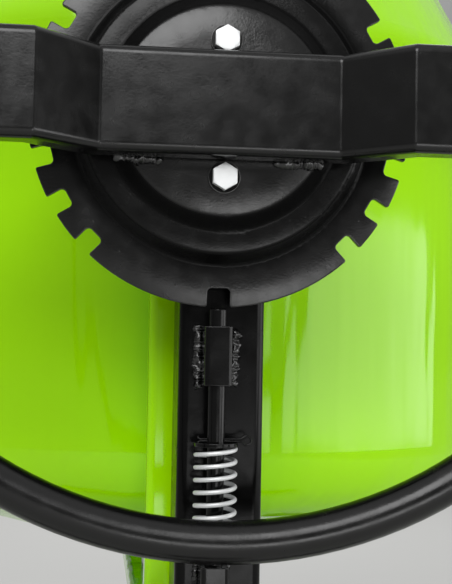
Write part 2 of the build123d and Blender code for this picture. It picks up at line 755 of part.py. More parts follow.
def make_lock():
    spring_foot = trunnion_height - lower_guide_top_drop
    upper = guide(trunnion_height - guide_top_drop, guide_height)
    save("rod_guides", upper, guide(spring_foot, lower_guide_height))
    tip = trunnion_height - plate_radius - rod_tip_gap
    link_bottom = pedal_pivot_height - pedal_link_height / 2
    nut_height = 8.0
    nut_top = link_bottom - pedal_link_gap
    rod_bottom = nut_top - nut_height - 6
    rod = rod_z(rod_diameter / 2, (rod_bottom, tip), 0, rod_y)
    rod = chamfer(rod.edges().group_by(Axis.Z)[-1], 1.2)
    seat = trunnion_height - spring_seat_drop
    pin_height = seat + rod_washer_thickness + split_pin / 2
    rod -= rod_x(split_pin / 2, (-rod_diameter, rod_diameter), rod_y, pin_height)
    save("lock_rod", rod)
    washer = rod_z(spring_diameter / 2, (seat, seat + rod_washer_thickness), 0, rod_y)
    save("rod_washer", washer - rod_z(rod_diameter / 2, (seat, seat + rod_washer_thickness), 0, rod_y))
    eye_middle = spring_diameter / 2 + split_pin_eye / 2 + 2
    pin_end = eye_middle - split_pin_eye / 2 + split_pin / 2
    pin = rod_x(split_pin / 2, (-rod_diameter, pin_end), rod_y, pin_height)
    eye = Rot(90, 0, 0) * Torus((split_pin_eye - split_pin) / 2, split_pin / 2)
    eye = Pos(eye_middle, rod_y, pin_height) * eye
    save("rod_split_pin", pin + eye)
    nut = Pos(0, rod_y, nut_top - nut_height) * hex_bar(rod_nut_across, nut_height)
    save("rod_nut", nut - rod_z(rod_diameter / 2, (rod_bottom, tip), 0, rod_y))
    free = seat - spring_foot - spring_wire
    coil_radius = (spring_diameter - spring_wire) / 2
    coil = Helix(pitch=free / spring_turns, height=free, radius=coil_radius)
    section = Plane(origin=coil @ 0, z_dir=coil % 0) * Circle(spring_wire / 2)
    wire = sweep(section, path=coil, is_frenet=True)
    save("lock_spring", Pos(0, rod_y, spring_foot + spring_wire / 2) * wire)


def make_pedal():
    inner = post_size / 2 + pedal_side_gap
    outer = inner + pedal_side
    half = pedal_side_height / 2
    front = pedal_front
    sides = []
    for side in (-1, 1):
        x = sorted((post_shift + side * inner, post_shift + side * outer))
        bar = block(x, (front, -post_middle), (pedal_pivot_height - half, pedal_pivot_height + half))
        bar += rod_x(half, x, -post_middle, pedal_pivot_height)
        sides.append(bar)
    bore = pedal_pin / 2 + running_gap
    link_y = (rod_y - pedal_link_front, rod_y + pedal_link_back)
    link_z = (pedal_pivot_height - pedal_link_height / 2, pedal_pivot_height + pedal_link_height / 2)
    link = block((post_shift - inner, post_shift + inner), link_y, link_z)
    slot_y = (rod_y - rod_diameter / 2 - pedal_slot_play, rod_y + rod_diameter / 2 + pedal_slot_play)
    slot = block((-rod_diameter / 2 - 1.5, rod_diameter / 2 + 1.5), slot_y, link_z)
    half_pad = pedal_pad_width / 2
    top = pedal_pivot_height + half
    plate_y = (front, front + pedal_pad_length)
    pad_x = (post_shift - half_pad, post_shift + half_pad)
    plate = block(pad_x, plate_y, (top, top + pedal_plate))
    lever = sides[0] + sides[1] + (link - slot) + plate
    lever -= rod_x(bore, (-3 * outer, 3 * outer), -post_middle, pedal_pivot_height)
    save("pedal_lever", lever)
    pad = block(pad_x, plate_y, (top + pedal_plate, top + pedal_plate + pedal_rubber))
    ribs = []
    for i in range(5):
        middle = front + pedal_pad_length * (i + 0.5) / 5
        z = (top + pedal_plate + pedal_rubber / 2, top + pedal_plate + pedal_rubber + 1)
        ribs.append(block((pad_x[0] + 6, pad_x[1] - 6), (middle - 2, middle + 2), z))
    save("pedal_pad", pad - ribs)
    pin_end = outer + 6
    pin = rod_x(pedal_pin / 2, (-pin_end, pin_end), -post_middle, pedal_pivot_height)
    head = rod_x(pedal_pin / 2 + 4, (-pin_end, -outer - side_gap), -post_middle, pedal_pivot_height)
    clip = rod_x(pedal_pin / 2 + 4, (outer + side_gap, pin_end - 2), -post_middle, pedal_pivot_height)
    save("pedal_pivot_pin", Pos(post_shift, 0, 0) * (pin + head + clip))


# ---- Drive ----
def case_face(inset):
    height = case_below + case_above - 2 * inset
    middle = trunnion_height + (case_above - case_below) / 2
    shape = RectangleRounded(case_width - 2 * inset, height, case_corner - inset)
    return Plane.XZ * (Pos(0, middle) * shape)


def case_solid(inset, y):
    """The outline of the motor case, from one Y to another."""
    return Pos(0, y[1], 0) * extrude(case_face(inset), amount=y[1] - y[0])


def make_motor_case():
    tray = case_solid(0, (post_outer, tray_front))
    tray -= case_solid(case_wall, (post_outer + case_wall, tray_front + 1))
    hole_radius = trunnion_diameter / 2 + bush_wall + bush_flange_width + 3
    tray -= rod_along_y(hole_radius, (post_outer - 1, post_outer + case_wall + 1))
    save("motor_tray", tray)
    cover = case_solid(0, (tray_front, cover_front))
    cover = fillet(cover.faces().sort_by(Axis.Y)[-1].edges(), cover_round)
    hollow = case_solid(case_wall, (tray_front - 1, cover_front - case_wall))
    hollow = fillet(hollow.faces().sort_by(Axis.Y)[-1].edges(), cover_round - case_wall)
    cover -= hollow
    for i in range(vent_count):
        height = motor_axis + (i - (vent_count - 1) / 2) * vent_pitch
        slot = RectangleRounded(vent_width, vent_height, vent_height / 2 - 0.1)
        cutter = extrude(Plane.XZ * slot, amount=case_wall, both=True)
        cover -= Pos(0, cover_front - case_wall / 2, height) * cutter
    save("motor_cover", cover)


def pulley(seat, y, height, bore):
    """A flat-belt pulley with two lips."""
    outer = seat + pulley_lip
    body = rod_along_y(outer, y, 0, height)
    groove = rod_along_y(outer + 1, (y[0] + pulley_lip_width, y[1] - pulley_lip_width), 0, height)
    groove -= rod_along_y(seat, y, 0, height)
    return body - groove - rod_along_y(bore, y, 0, height)


def belt_loop(extra):
    big = Pos(0, trunnion_height) * Circle(drive_pulley_radius + extra)
    small = Pos(0, motor_axis) * Circle(motor_pulley_radius + extra)
    return make_hull(big.edges() + small.edges())


def make_drive():
    y = (tray_front, tray_front + pulley_width)
    save("drive_pulley", pulley(drive_pulley_radius, y, trunnion_height, pinion_shaft_diameter / 2))
    save("motor_pulley", pulley(motor_pulley_radius, y, motor_axis, motor_shaft_diameter / 2))
    loop = belt_loop(belt_gap + belt_thickness) - belt_loop(belt_gap)
    belt_width = pulley_width - 2 * pulley_lip_width - 2 * belt_gap
    belt = extrude(Plane.XZ * loop, amount=belt_width / 2, both=True)
    save("drive_belt", Pos(0, tray_front + pulley_width / 2, 0) * belt)
    half = motor_radius + motor_plate_margin
    inset = half - standoff_inset
    plate_y = (motor_face - motor_plate, motor_face)
    corners = [(x, z) for x in (-inset, inset) for z in (-inset, inset)]
    plate = block((-half, half), plate_y, (motor_axis - half, motor_axis + half))
    plate -= rod_along_y(motor_shaft_diameter, plate_y, 0, motor_axis)
    bar_y = (post_outer + case_wall, plate_y[0])
    bars = [rod_along_y(standoff_diameter / 2, bar_y, x, motor_axis + z) for x, z in corners]
    save("motor_mount", plate, *bars)
    make_motor()


def make_motor():
    start = motor_face
    end = motor_face + motor_length
    cap = 9.0
    bearing = 16.0
    wall = 5.0
    shaft = motor_shaft_diameter / 2
    tube_y = (start + cap, end - cap)
    tube = rod_along_y(motor_radius, tube_y, 0, motor_axis)
    tube -= rod_along_y(motor_radius - wall, tube_y, 0, motor_axis)
    caps = []
    bearings = []
    for y in ((start, start + cap), (end - cap, end)):
        ring = rod_along_y(motor_radius, y, 0, motor_axis) - rod_along_y(bearing, y, 0, motor_axis)
        caps.append(ring)
        race = rod_along_y(bearing, y, 0, motor_axis)
        bearings.append(race - rod_along_y(shaft + running_gap, y, 0, motor_axis))
    save("motor_case", tube, *caps)
    save("motor_bearings", *bearings)
    core_y = (start + 2 * cap, end - 2 * cap)
    rotor_radius = (motor_radius - wall) * 0.62
    stator = rod_along_y(motor_radius - wall, core_y, 0, motor_axis)
    save("motor_stator", stator - rod_along_y(rotor_radius + motor_gap, core_y, 0, motor_axis))
    rotor = rod_along_y(rotor_radius, core_y, 0, motor_axis)
    rotor += rod_along_y(shaft, (tray_front, end), 0, motor_axis)
    save("motor_rotor", rotor)


def make_switch():
    half = switch_width / 2
    middle = trunnion_height + 10
    z = (middle - switch_height / 2, middle + switch_height / 2)
    front = cover_front + switch_depth
    body = block((-half, half), (cover_front, front), z)
    body = fillet(body.edges().filter_by(Axis.Y), 8)
    hollow = block((-half + switch_wall, half - switch_wall), (cover_front, front - switch_wall),
                   (z[0] + switch_wall, z[1] - switch_wall))
    body -= fillet(hollow.edges().filter_by(Axis.Y), 5)
    hole = button_diameter / 2 + 0.4
    lip = button_diameter / 2 + 2
    inner = front - switch_wall - side_gap
    for name, side in (("start", 1), ("stop", -1)):
        height = middle + side * button_pitch / 2
        body -= rod_along_y(hole, (front - switch_wall - 1, front + 1), 0, height)
        button = rod_along_y(button_diameter / 2, (inner, front + button_stand), 0, height)
        button = fillet(button.edges().sort_by(Axis.Y)[-1], 1.5)
        button += rod_along_y(lip, (inner - 3, inner), 0, height)
        button += rod_along_y(4, (cover_front + button_travel + 1, inner - 3), 0, height)
        save(f"{name}_button", button)
    save("switch_box", body)
    inlet_height = z[0] - inlet_diameter / 2 - 12
    outer = inlet_diameter / 2
    inlet_y = (cover_front, cover_front + inlet_depth)
    inlet = rod_along_y(outer, inlet_y, 0, inlet_height)
    inlet -= rod_along_y(outer - 4, (cover_front + 5, inlet_y[1] + 1), 0, inlet_height)
    pins = []
    for i in range(3):
        angle = math.radians(90 + 120 * i)
        x = 10 * math.cos(angle)
        z_pin = inlet_height + 10 * math.sin(angle)
        pins.append(rod_along_y(2.5, (cover_front + 5, inlet_y[1] - 4), x, z_pin))
    save("power_inlet", inlet, *pins)


make_posts()
make_beams()
make_gussets()
make_feet()
make_axle()
make_wheels()
make_bearing_housings()
make_yoke()
make_trunnions()
make_index_plate()
make_plate_bolts()
make_handwheel()
make_drum()
make_ring_gear()
make_pinion()
make_hub()
make_lock()
make_pedal()
make_motor_case()
make_drive()
make_switch()
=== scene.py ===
import json
import math
import bmesh
import bpy
from mathutils import Matrix, Vector


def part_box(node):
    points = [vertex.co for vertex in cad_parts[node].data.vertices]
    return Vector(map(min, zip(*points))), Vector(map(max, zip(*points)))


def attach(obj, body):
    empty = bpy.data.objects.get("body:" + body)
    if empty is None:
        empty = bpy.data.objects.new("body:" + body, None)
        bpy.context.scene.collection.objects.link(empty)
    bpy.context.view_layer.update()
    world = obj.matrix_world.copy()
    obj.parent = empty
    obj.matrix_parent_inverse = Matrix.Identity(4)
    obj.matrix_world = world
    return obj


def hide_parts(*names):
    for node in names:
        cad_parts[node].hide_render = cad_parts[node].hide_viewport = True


# Tilting-drum mixer: finishes, pressed plate, guides, welds, fasteners and tyres round the fixed frame.
# Lengths are metres and +Z is up; a length written in millimetres is multiplied by MM.
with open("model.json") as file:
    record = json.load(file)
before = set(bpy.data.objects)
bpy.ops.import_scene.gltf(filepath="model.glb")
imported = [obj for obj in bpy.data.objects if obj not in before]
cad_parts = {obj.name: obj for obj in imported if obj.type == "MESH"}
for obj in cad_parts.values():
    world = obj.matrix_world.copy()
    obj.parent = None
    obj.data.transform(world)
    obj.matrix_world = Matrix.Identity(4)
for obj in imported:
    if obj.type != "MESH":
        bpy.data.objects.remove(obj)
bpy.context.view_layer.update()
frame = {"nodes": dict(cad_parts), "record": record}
nodes = frame["nodes"]
MM = 0.001
CREASE = 32         # degrees: edges sharper than this stay sharp in the shading
HEAD_POINTS = 48    # points round a bolt head or a nut


# ---- Where things are ----
post_low, post_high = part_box("front_post")
rear_low, rear_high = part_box("rear_post")
guide_low, guide_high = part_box("rod_guides")
plate_low, plate_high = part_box("index_plate")
spoke_low, spoke_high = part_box("handwheel_spoke")
rod_low, rod_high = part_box("lock_rod")
seam_low, seam_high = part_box("drum_seam_bolts")
drum_low, drum_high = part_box("drum_lower")
axle_z = (plate_low.z + plate_high.z) / 2
plateau_y = plate_low.y
drum_y = (drum_low.y + drum_high.y) / 2
drum_radius = drum_high.x
rod_y = (rod_low.y + rod_high.y) / 2
post_face = post_low.y
guide_half = (guide_high.x - guide_low.x) / 2
upper_guide_foot = guide_high.z - 40.5 * MM
lower_guide_top = guide_low.z + 20 * MM


# ---- Building nodes ----
def add(tree, kind, inputs=None, **settings):
    """Adds one node: its settings, then its inputs from values or from other nodes' outputs."""
    node = tree.nodes.new(kind)
    for key, value in settings.items():
        setattr(node, key, value)
    for key, value in (inputs or {}).items():
        if isinstance(value, bpy.types.NodeSocket):
            tree.links.new(value, node.inputs[key])
        else:
            node.inputs[key].default_value = value
    return node


def feed(tree, node, outputs):
    """Links outputs into a node's named inputs."""
    for key, value in outputs.items():
        tree.links.new(value, node.inputs[key])


def srgb(code):
    """A hex colour as the linear values that shaders take."""
    values = [int(code[i:i + 2], 16) / 255 for i in (1, 3, 5)]
    return [v / 12.92 if v <= 0.04045 else ((v + 0.055) / 1.055) ** 2.4 for v in values] + [1.0]


def noise(tree, place, size, detail):
    """Cloudy noise with lumps about so many millimetres across."""
    inputs = {"Vector": place, "Scale": 1 / (size * MM), "Detail": detail}
    return add(tree, "ShaderNodeTexNoise", inputs).outputs[0]


def ranged(tree, value, start, end, low=0.0, high=1.0, **settings):
    """A value that goes from start to end, as one that goes from low to high."""
    inputs = {"Value": value, "From Min": start, "From Max": end, "To Min": low, "To Max": high}
    return add(tree, "ShaderNodeMapRange", inputs, **settings).outputs[0]


def combine(tree, operation, *values):
    """One arithmetic operation on values or outputs."""
    return add(tree, "ShaderNodeMath", dict(enumerate(values)), operation=operation).outputs[0]


def tint(tree, amount, first, second):
    """A colour between two hex colours."""
    inputs = {"Fac": amount, "Color1": srgb(first), "Color2": srgb(second)}
    return add(tree, "ShaderNodeMixRGB", inputs).outputs[0]


def bump(tree, height, strength, depth, under=None):
    """A normal bent by a height, so many millimetres deep, over another normal where one is given."""
    inputs = {"Height": height, "Strength": strength, "Distance": depth * MM}
    if under is not None:
        inputs["Normal"] = under
    return add(tree, "ShaderNodeBump", inputs).outputs[0]


def finish(name, colour, roughness, metallic=0.0, fixed=None):
    """A material with one shader; returns it with its tree, its shader and its Object coordinates."""
    material = bpy.data.materials.new(name)
    material.use_nodes = True
    tree = material.node_tree
    tree.nodes.clear()
    values = {"Base Color": srgb(colour), "Roughness": roughness, "Metallic": metallic, **(fixed or {})}
    shader = add(tree, "ShaderNodeBsdfPrincipled", values)
    add(tree, "ShaderNodeOutputMaterial", {"Surface": shader.outputs[0]})
    place = add(tree, "ShaderNodeTexCoord").outputs["Object"]
    return material, tree, shader, place


# ---- Finishes: grains, marks and depths in millimetres ----
def lime_enamel():
    """Sprayed gloss enamel on pressed sheet: deep even colour, faint orange peel, sharp reflections."""
    fixed = {"IOR": 1.5, "Specular IOR Level": 0.3}
    material, tree, shader, place = finish("gloss_lime_enamel", "#9adc00", roughness=0.1, fixed=fixed)
    clouds = noise(tree, place, size=160, detail=2.0)
    tall = add(tree, "ShaderNodeMapping", {"Vector": place, "Scale": (1, 1, 0.12)}).outputs[0]
    waves = bump(tree, noise(tree, tall, size=38, detail=2.0), strength=1.0, depth=2.5)
    peel = bump(tree, noise(tree, place, size=5, detail=1.0), strength=0.3, depth=0.03, under=waves)
    feed(tree, shader, {"Base Color": tint(tree, clouds, "#98da00", "#9cde00"), "Normal": peel})
    return material


def powder_coat(name, colour, roughness, grain, depth, shine, rounding=1.2, edge_highlight="#4c4c4c"):
    """Baked black powder coat: nearly black, a soft sheen, a pebbled skin with a few grains in it, and edges
    that the coat rounds, with a painted highlight: a paler colour painted in patches along the edges."""
    fixed = {"IOR": 1.5, "Specular IOR Level": shine}
    material, tree, shader, place = finish(name, colour, roughness, fixed=fixed)
    pebble = noise(tree, place, size=grain, detail=3.0)
    wave = noise(tree, place, size=14, detail=2.0)
    skin = combine(tree, "MULTIPLY_ADD", wave, 2.0, pebble)
    grit = add(tree, "ShaderNodeTexVoronoi", {"Vector": place, "Scale": 1 / (9 * MM)}).outputs["Distance"]
    speck = ranged(tree, grit, start=0.0, end=0.06, low=1.5, high=0.0)
    edge = add(tree, "ShaderNodeBevel", {"Radius": rounding * MM}, samples=8).outputs[0]
    pebbled = bump(tree, combine(tree, "ADD", skin, speck), strength=0.6, depth=depth, under=edge)
    sheen = ranged(tree, wave, start=0.3, end=0.7, low=roughness - 0.05, high=roughness + 0.06)
    face = add(tree, "ShaderNodeNewGeometry").outputs["Normal"]
    skew = add(tree, "ShaderNodeVectorMath", {0: edge, 1: face}, operation="DOT_PRODUCT").outputs["Value"]
    # painted highlight: where the bevelled normal turns from the face, a paler colour is painted in patches,
    # standing in for the light lines on rounded edges
    edge_line = ranged(tree, skew, start=0.98, end=0.8)
    patchy = ranged(tree, wave, start=0.25, end=0.55)
    coat = tint(tree, combine(tree, "MULTIPLY", edge_line, patchy), colour, edge_highlight)
    feed(tree, shader, {"Base Color": coat, "Roughness": sheen, "Normal": pebbled})
    return material


def metal(name, light, dark, roughness, spread, grain, depth, stretch=(1, 1, 1), metallic=1.0):
    """Bare or plated steel: a bright base, with faint patches and fine marks that soften its shine."""
    material, tree, shader, place = finish(name, light, roughness, metallic)
    spun = add(tree, "ShaderNodeMapping", {"Vector": place, "Scale": stretch}).outputs[0]
    marks = noise(tree, spun, size=grain, detail=4.0)
    patches = noise(tree, place, size=11, detail=3.0)
    sheen = ranged(tree, marks, start=0.3, end=0.7, low=roughness - spread, high=roughness + spread)
    feed(tree, shader, {"Base Color": tint(tree, patches, light, dark), "Roughness": sheen,
                        "Normal": bump(tree, marks, strength=0.5, depth=depth)})
    return material


def moulded(name, colour, pale, roughness, grain, depth, fixed=None):
    """Moulded rubber or plastic: an even matt body with a fine grain, slightly paler where it is scuffed."""
    material, tree, shader, place = finish(name, colour, roughness, fixed=fixed)
    skin = noise(tree, place, size=grain, detail=3.0)
    scuffed = ranged(tree, noise(tree, place, size=35, detail=4.0), start=0.45, end=0.75)
    feed(tree, shader, {"Base Color": tint(tree, scuffed, colour, pale),
                        "Normal": bump(tree, skin, strength=0.6, depth=depth)})
    return material


def sand_cast_iron():
    """Sand-cast iron, oiled: dark grey, browner in patches, rough all over from the mould's grains."""
    material, tree, shader, place = finish("sand_cast_iron", "#3a3a3b", roughness=0.55, metallic=0.6)
    sand = noise(tree, place, size=2.2, detail=5.0)
    stain = ranged(tree, noise(tree, place, size=40, detail=4.0), start=0.5, end=0.8)
    feed(tree, shader, {"Base Color": tint(tree, stain, "#3a3a3b", "#4a403a"),
                        "Normal": bump(tree, sand, strength=0.8, depth=0.15)})
    return material


def hammered_enamel():
    """Grey hammered enamel on the motor: small shallow dimples that break up the shine."""
    material, tree, shader, place = finish("grey_hammered_enamel", "#5a5f63", roughness=0.32,
                                           metallic=0.2)
    cells = add(tree, "ShaderNodeTexVoronoi", {"Vector": place, "Scale": 1 / (3 * MM)}, feature="SMOOTH_F1")
    feed(tree, shader, {"Normal": bump(tree, cells.outputs["Distance"], strength=0.6, depth=0.1)})
    return material


def pressed_plate_coat():
    """The powder coat on the pressed plate: glossy on the flats, with painted shade on the steps, whose walls
    have their shine turned far down.
    """
    material = powder_coat("black_powder_coat_on_pressed_plate", "#090909", roughness=0.23, grain=1.5,
                           depth=0.13, shine=0.5, rounding=1.6)
    tree = material.node_tree
    place = add(tree, "ShaderNodeTexCoord").outputs["Object"]
    out = add(tree, "ShaderNodeVectorMath", {0: place, 1: (0, 0, axle_z)}, operation="SUBTRACT").outputs[0]
    flat = add(tree, "ShaderNodeVectorMath", {0: out, 1: (1, 0, 1)}, operation="MULTIPLY").outputs[0]
    radius = add(tree, "ShaderNodeVectorMath", {0: flat}, operation="LENGTH").outputs["Value"]
    # painted shade: the shine falls nearly to nothing on the walls of the steps and lower on the ring between
    # them, so they read dark as if in shade
    # radius in millimetres and the shine there; the first and last are the curve's own two points
    levels = [(0, 0.42), (70, 0.42), (73, 0.04), (81, 0.04), (84, 0.17), (94, 0.2), (97, 0.08), (103, 0.08),
              (108, 0.16), (118, 0.4), (140, 0.4)]
    reach = levels[-1][0]
    shine = add(tree, "ShaderNodeFloatCurve", {"Value": combine(tree, "DIVIDE", radius, reach * MM)})
    curve = shine.mapping.curves[0]
    curve.points[0].location = (0, levels[0][1])
    curve.points[1].location = (1, levels[-1][1])
    for at, level in levels[1:-1]:
        curve.points.new(at / reach, level)
    shine.mapping.update()
    feed(tree, tree.nodes["Principled BSDF"], {"Specular IOR Level": shine.outputs[0]})
    return material


abs_plastic = {"IOR": 1.54}
polypropylene = {"IOR": 1.49}
finishes = {
    "green_paint": lime_enamel(),
    "black_powder_coat": powder_coat("black_powder_coat", "#050505", roughness=0.22, grain=2.4, depth=0.04,
                                     shine=0.13),
    "cast_iron": sand_cast_iron(),
    "bright_steel": metal("turned_steel", "#b4b6b8", "#9a9c9e", roughness=0.26, spread=0.08, grain=0.8,
                          depth=0.02, stretch=(1, 1, 6)),
    "zinc": metal("pale_zinc_plate", "#e4e5e5", "#d0d2d3", roughness=0.5, spread=0.08, grain=1.4, depth=0.05,
                  metallic=0.55),
    "bronze": metal("sintered_bronze", "#b08a4e", "#8c6a38", roughness=0.4, spread=0.08, grain=0.9, depth=0.03),
    "rubber": moulded("moulded_rubber", "#161616", "#262523", roughness=0.8, grain=1.5, depth=0.08),
    "tyre": moulded("tyre_rubber", "#1b1b1b", "#34322f", roughness=0.75, grain=2.0, depth=0.1),
    "wheel_paint": powder_coat("gloss_black_enamel", "#101011", roughness=0.22, grain=4.0, depth=0.02,
                               shine=0.5),
    "black_plastic": moulded("moulded_black_polypropylene", "#1c1d1f", "#27282a", roughness=0.5, grain=1.2,
                             depth=0.05, fixed=polypropylene),
    "motor_paint": hammered_enamel(),
    "green_plastic": moulded("moulded_green_abs", "#1d9a3c", "#25a848", roughness=0.28, grain=3.0, depth=0.01,
                             fixed=abs_plastic),
    "red_plastic": moulded("moulded_red_abs", "#c0211b", "#cc3128", roughness=0.28, grain=3.0, depth=0.01,
                           fixed=abs_plastic),
}
weld_powder = powder_coat("black_powder_coat_on_welds", "#050505", roughness=0.16, grain=2.4, depth=0.03,
                          shine=0.6)
plate_powder = pressed_plate_coat()
# painted highlight: the guide's edges are painted pale grey as bright highlight lines
guide_powder = powder_coat("black_powder_coat_on_guide", "#040404", roughness=0.18, grain=1.6, depth=0.04,
                           shine=0.22, rounding=0.8, edge_highlight="#808080")
rod_black = powder_coat("gloss_black_on_lock_rod", "#060606", roughness=0.16, grain=3.0, depth=0.02,
                        shine=0.2, rounding=0.6)
# painted highlight: the washer's rim is painted pale grey as a thin highlight ring
washer_black = powder_coat("black_washer_with_painted_highlight_at_its_rim", "#060606", roughness=0.2, grain=3.0, depth=0.02,
                           shine=0.2, rounding=0.9, edge_highlight="#8c8c8c")
spoke_powder = powder_coat("black_powder_coat_on_spoke", "#070707", roughness=0.22, grain=1.6, depth=0.07,
                           shine=0.4)
own_finish = {
    "handwheel_spoke": spoke_powder,
    "handwheel_rim": spoke_powder,
    "lock_rod": rod_black,
    "rod_washer": rod_black,
    "plate_washers": washer_black,
}
for subpart in frame["record"]["subparts"]:
    for holder in nodes[subpart["node"]].material_slots:
        holder.material = own_finish.get(subpart["node"], finishes[subpart["material_slot"]])


# ---- Making pieces ----
def shade(mesh, crease=CREASE):
    """Smooth but for edges sharper than the crease angle."""
    mesh.shade_smooth()
    mesh.set_sharp_from_angle(angle=math.radians(crease))


def tidy_faces(mesh, crease=CREASE):
    """Doubled points merged and faces turned outwards, then shaded."""
    shape = bmesh.new()
    shape.from_mesh(mesh)
    bmesh.ops.remove_doubles(shape, verts=shape.verts, dist=1e-6)
    bmesh.ops.recalc_face_normals(shape, faces=shape.faces)
    shape.to_mesh(mesh)
    shape.free()
    shade(mesh, crease)


def joined(name, meshes):
    """Several meshes as one."""
    shape = bmesh.new()
    for mesh in meshes:
        shape.from_mesh(mesh)
    whole = bpy.data.meshes.new(name)
    shape.to_mesh(whole)
    shape.free()
    shade(whole)
    return whole


def moved(mesh, spot, turn=Matrix.Identity(4)):
    """A mesh turned about the origin and then moved to a spot."""
    mesh.transform(Matrix.Translation(spot) @ turn)
    return mesh


def in_scene(name, data):
    """A new object in the scene, at the origin."""
    made = bpy.data.objects.new(name, data)
    bpy.context.scene.collection.objects.link(made)
    return made


def as_mesh(host):
    """What an object looks like once its modifiers or its curve are worked out, as a plain mesh."""
    return bpy.data.meshes.new_from_object(host.evaluated_get(bpy.context.evaluated_depsgraph_get()))


def loft(name, rings, loop=False):
    """A skin through rings of points, each with as many points, closed at both ends or round to the first."""
    count = len(rings[0])
    faces = []
    for i in range(len(rings) if loop else len(rings) - 1):
        low, high = i * count, (i + 1) % len(rings) * count
        faces += [(low + j, low + (j + 1) % count, high + (j + 1) % count, high + j) for j in range(count)]
    if not loop:
        faces += [tuple(range(count)), tuple(range((len(rings) - 1) * count, len(rings) * count))]
    mesh = bpy.data.meshes.new(name)
    mesh.from_pydata([p for ring in rings for p in ring], [], faces)
    tidy_faces(mesh)
    return mesh


def circle(radius, height, count=HEAD_POINTS):
    """A level ring of points."""
    return [(radius * math.cos(a), radius * math.sin(a), height)
            for a in (2 * math.pi * i / count for i in range(count))]


def turned(name, profile, count=32, loop=False):
    """A shape turned about Z from a profile of radius and height."""
    return loft(name, [circle(r, z, count) for r, z in profile], loop)


def in_mm(*points):
    """A profile written in millimetres."""
    return [(r * MM, z * MM) for r, z in points]


def tapered(name, half_x, half_y, levels):
    """A block on a rectangle; each level gives its share of the rectangle and its height."""
    corners = [(-half_x, -half_y), (half_x, -half_y), (half_x, half_y), (-half_x, half_y)]
    return loft(name, [[(x * share, y * share, z) for x, y in corners] for share, z in levels])


def hexagon(across, height, fall=0.0):
    """A ring round a hexagon with flats left and right; its corners fall away as on a chamfered head."""
    ring = []
    for i in range(HEAD_POINTS):
        a = 2 * math.pi * i / HEAD_POINTS
        off = (a + math.pi / 6) % (math.pi / 3) - math.pi / 6
        radius = across / 2 / math.cos(off)
        ring.append((radius * math.cos(a), radius * math.sin(a), height - fall * (radius - across / 2)))
    return ring


def hex_head(across, height, shank, length):
    """A hex bolt: a shank of this radius below, a washer face, chamfered corners and a flat top."""
    washer_face, washer_top = across * 0.46, 0.06 * height
    return loft("hex_head", [
        circle(shank, -length), circle(shank, 0), circle(washer_face, 0), circle(washer_face, washer_top),
        hexagon(across, 0.07 * height), hexagon(across, 0.98 * height, fall=0.35),
        circle(across / 2 * 0.985, height),
    ])


def hex_nut(across, height, bore):
    """A hex nut with a bore of this radius and both faces chamfered by 30 degrees."""
    face, slope = across / 2 * 0.95, 0.577
    return loft("hex_nut", [
        circle(bore, 0), circle(face, 0), hexagon(across, 0.06 * height, fall=-slope),
        hexagon(across, 0.94 * height, fall=slope), circle(face, height), circle(bore, height),
    ], loop=True)


def piece(name, mesh, finish_slot, body, replaces=(), material=None):
    """Shows a mesh as a piece on a body, with the finish of a slot or a material of its own."""
    mesh.materials.clear()
    mesh.materials.append(material or finishes[finish_slot])
    shown = in_scene(name, mesh)
    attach(shown, body)
    if replaces:
        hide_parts(*replaces)


# ---- Trees for what repeats ----
def geometry_tree(name, inputs):
    """A tree with named inputs; returns it with its inputs' outputs inside the tree."""
    tree = bpy.data.node_groups.new(name, "GeometryNodeTree")
    tree.interface.new_socket("Geometry", in_out="INPUT", socket_type="NodeSocketGeometry")
    tree.interface.new_socket("Geometry", in_out="OUTPUT", socket_type="NodeSocketGeometry")
    for label, kind in inputs.items():
        tree.interface.new_socket(label, in_out="INPUT", socket_type="NodeSocket" + kind)
    return tree, tree.nodes.new("NodeGroupInput").outputs


def end_tree(tree, geometry, material):
    """Ends a tree with real geometry in its material."""
    real = add(tree, "GeometryNodeRealizeInstances", {"Geometry": geometry})
    coated = add(tree, "GeometryNodeSetMaterial", {"Geometry": real.outputs[0], "Material": material})
    add(tree, "NodeGroupOutput", {"Geometry": coated.outputs[0]})


def random_vector(tree, least, most, seed):
    """Three values for each point, each between its least and its most."""
    return add(tree, "FunctionNodeRandomValue", {0: least, 1: most, "Seed": seed},
               data_type="FLOAT_VECTOR").outputs[0]


def turned_by(tree, rotation, extra):
    """A rotation turned further in its own directions."""
    return add(tree, "FunctionNodeRotateRotation", {"Rotation": rotation, "Rotate By": extra},
               rotation_space="LOCAL").outputs[0]


